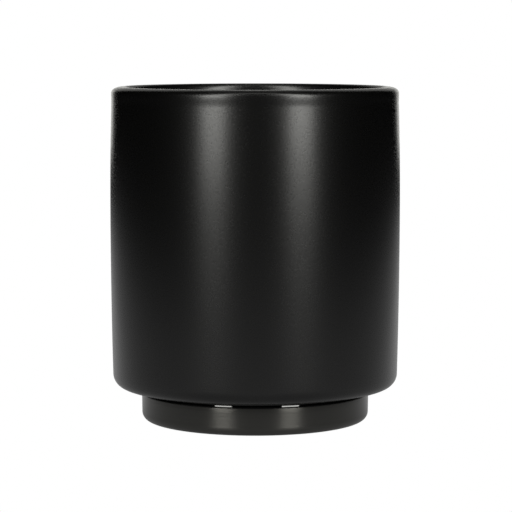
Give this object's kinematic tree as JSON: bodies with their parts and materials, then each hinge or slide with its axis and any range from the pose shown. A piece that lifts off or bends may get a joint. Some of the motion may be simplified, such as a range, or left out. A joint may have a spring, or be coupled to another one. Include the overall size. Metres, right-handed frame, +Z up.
{
  "type": "candle jar",
  "caption": "Empty round candle jar: satin black glazed cup with a soft rounded lip and slightly bellied side, on a narrower turned foot with a gloss black seam ring between them.",
  "frame": {"origin": "centre of the foot's underside, on the jar's axis, level with the table", "axes": "+Z up along the jar's axis and out of the mouth, -Y towards the front, +X to the right seen from the front"},
  "size_m": [0.08, 0.08, 0.0923],
  "materials": {
    "satin_glaze": "satin black glaze with a fine dry grain",
    "gloss_glaze": "pooled gloss black glaze",
    "turned_foot": "semi-gloss black over fine turning lines"
  },
  "bodies": {
    "root": {"vessel": "satin_glaze", "seam_ring": "gloss_glaze", "foot": "turned_foot"}
  },
  "joints": []
}
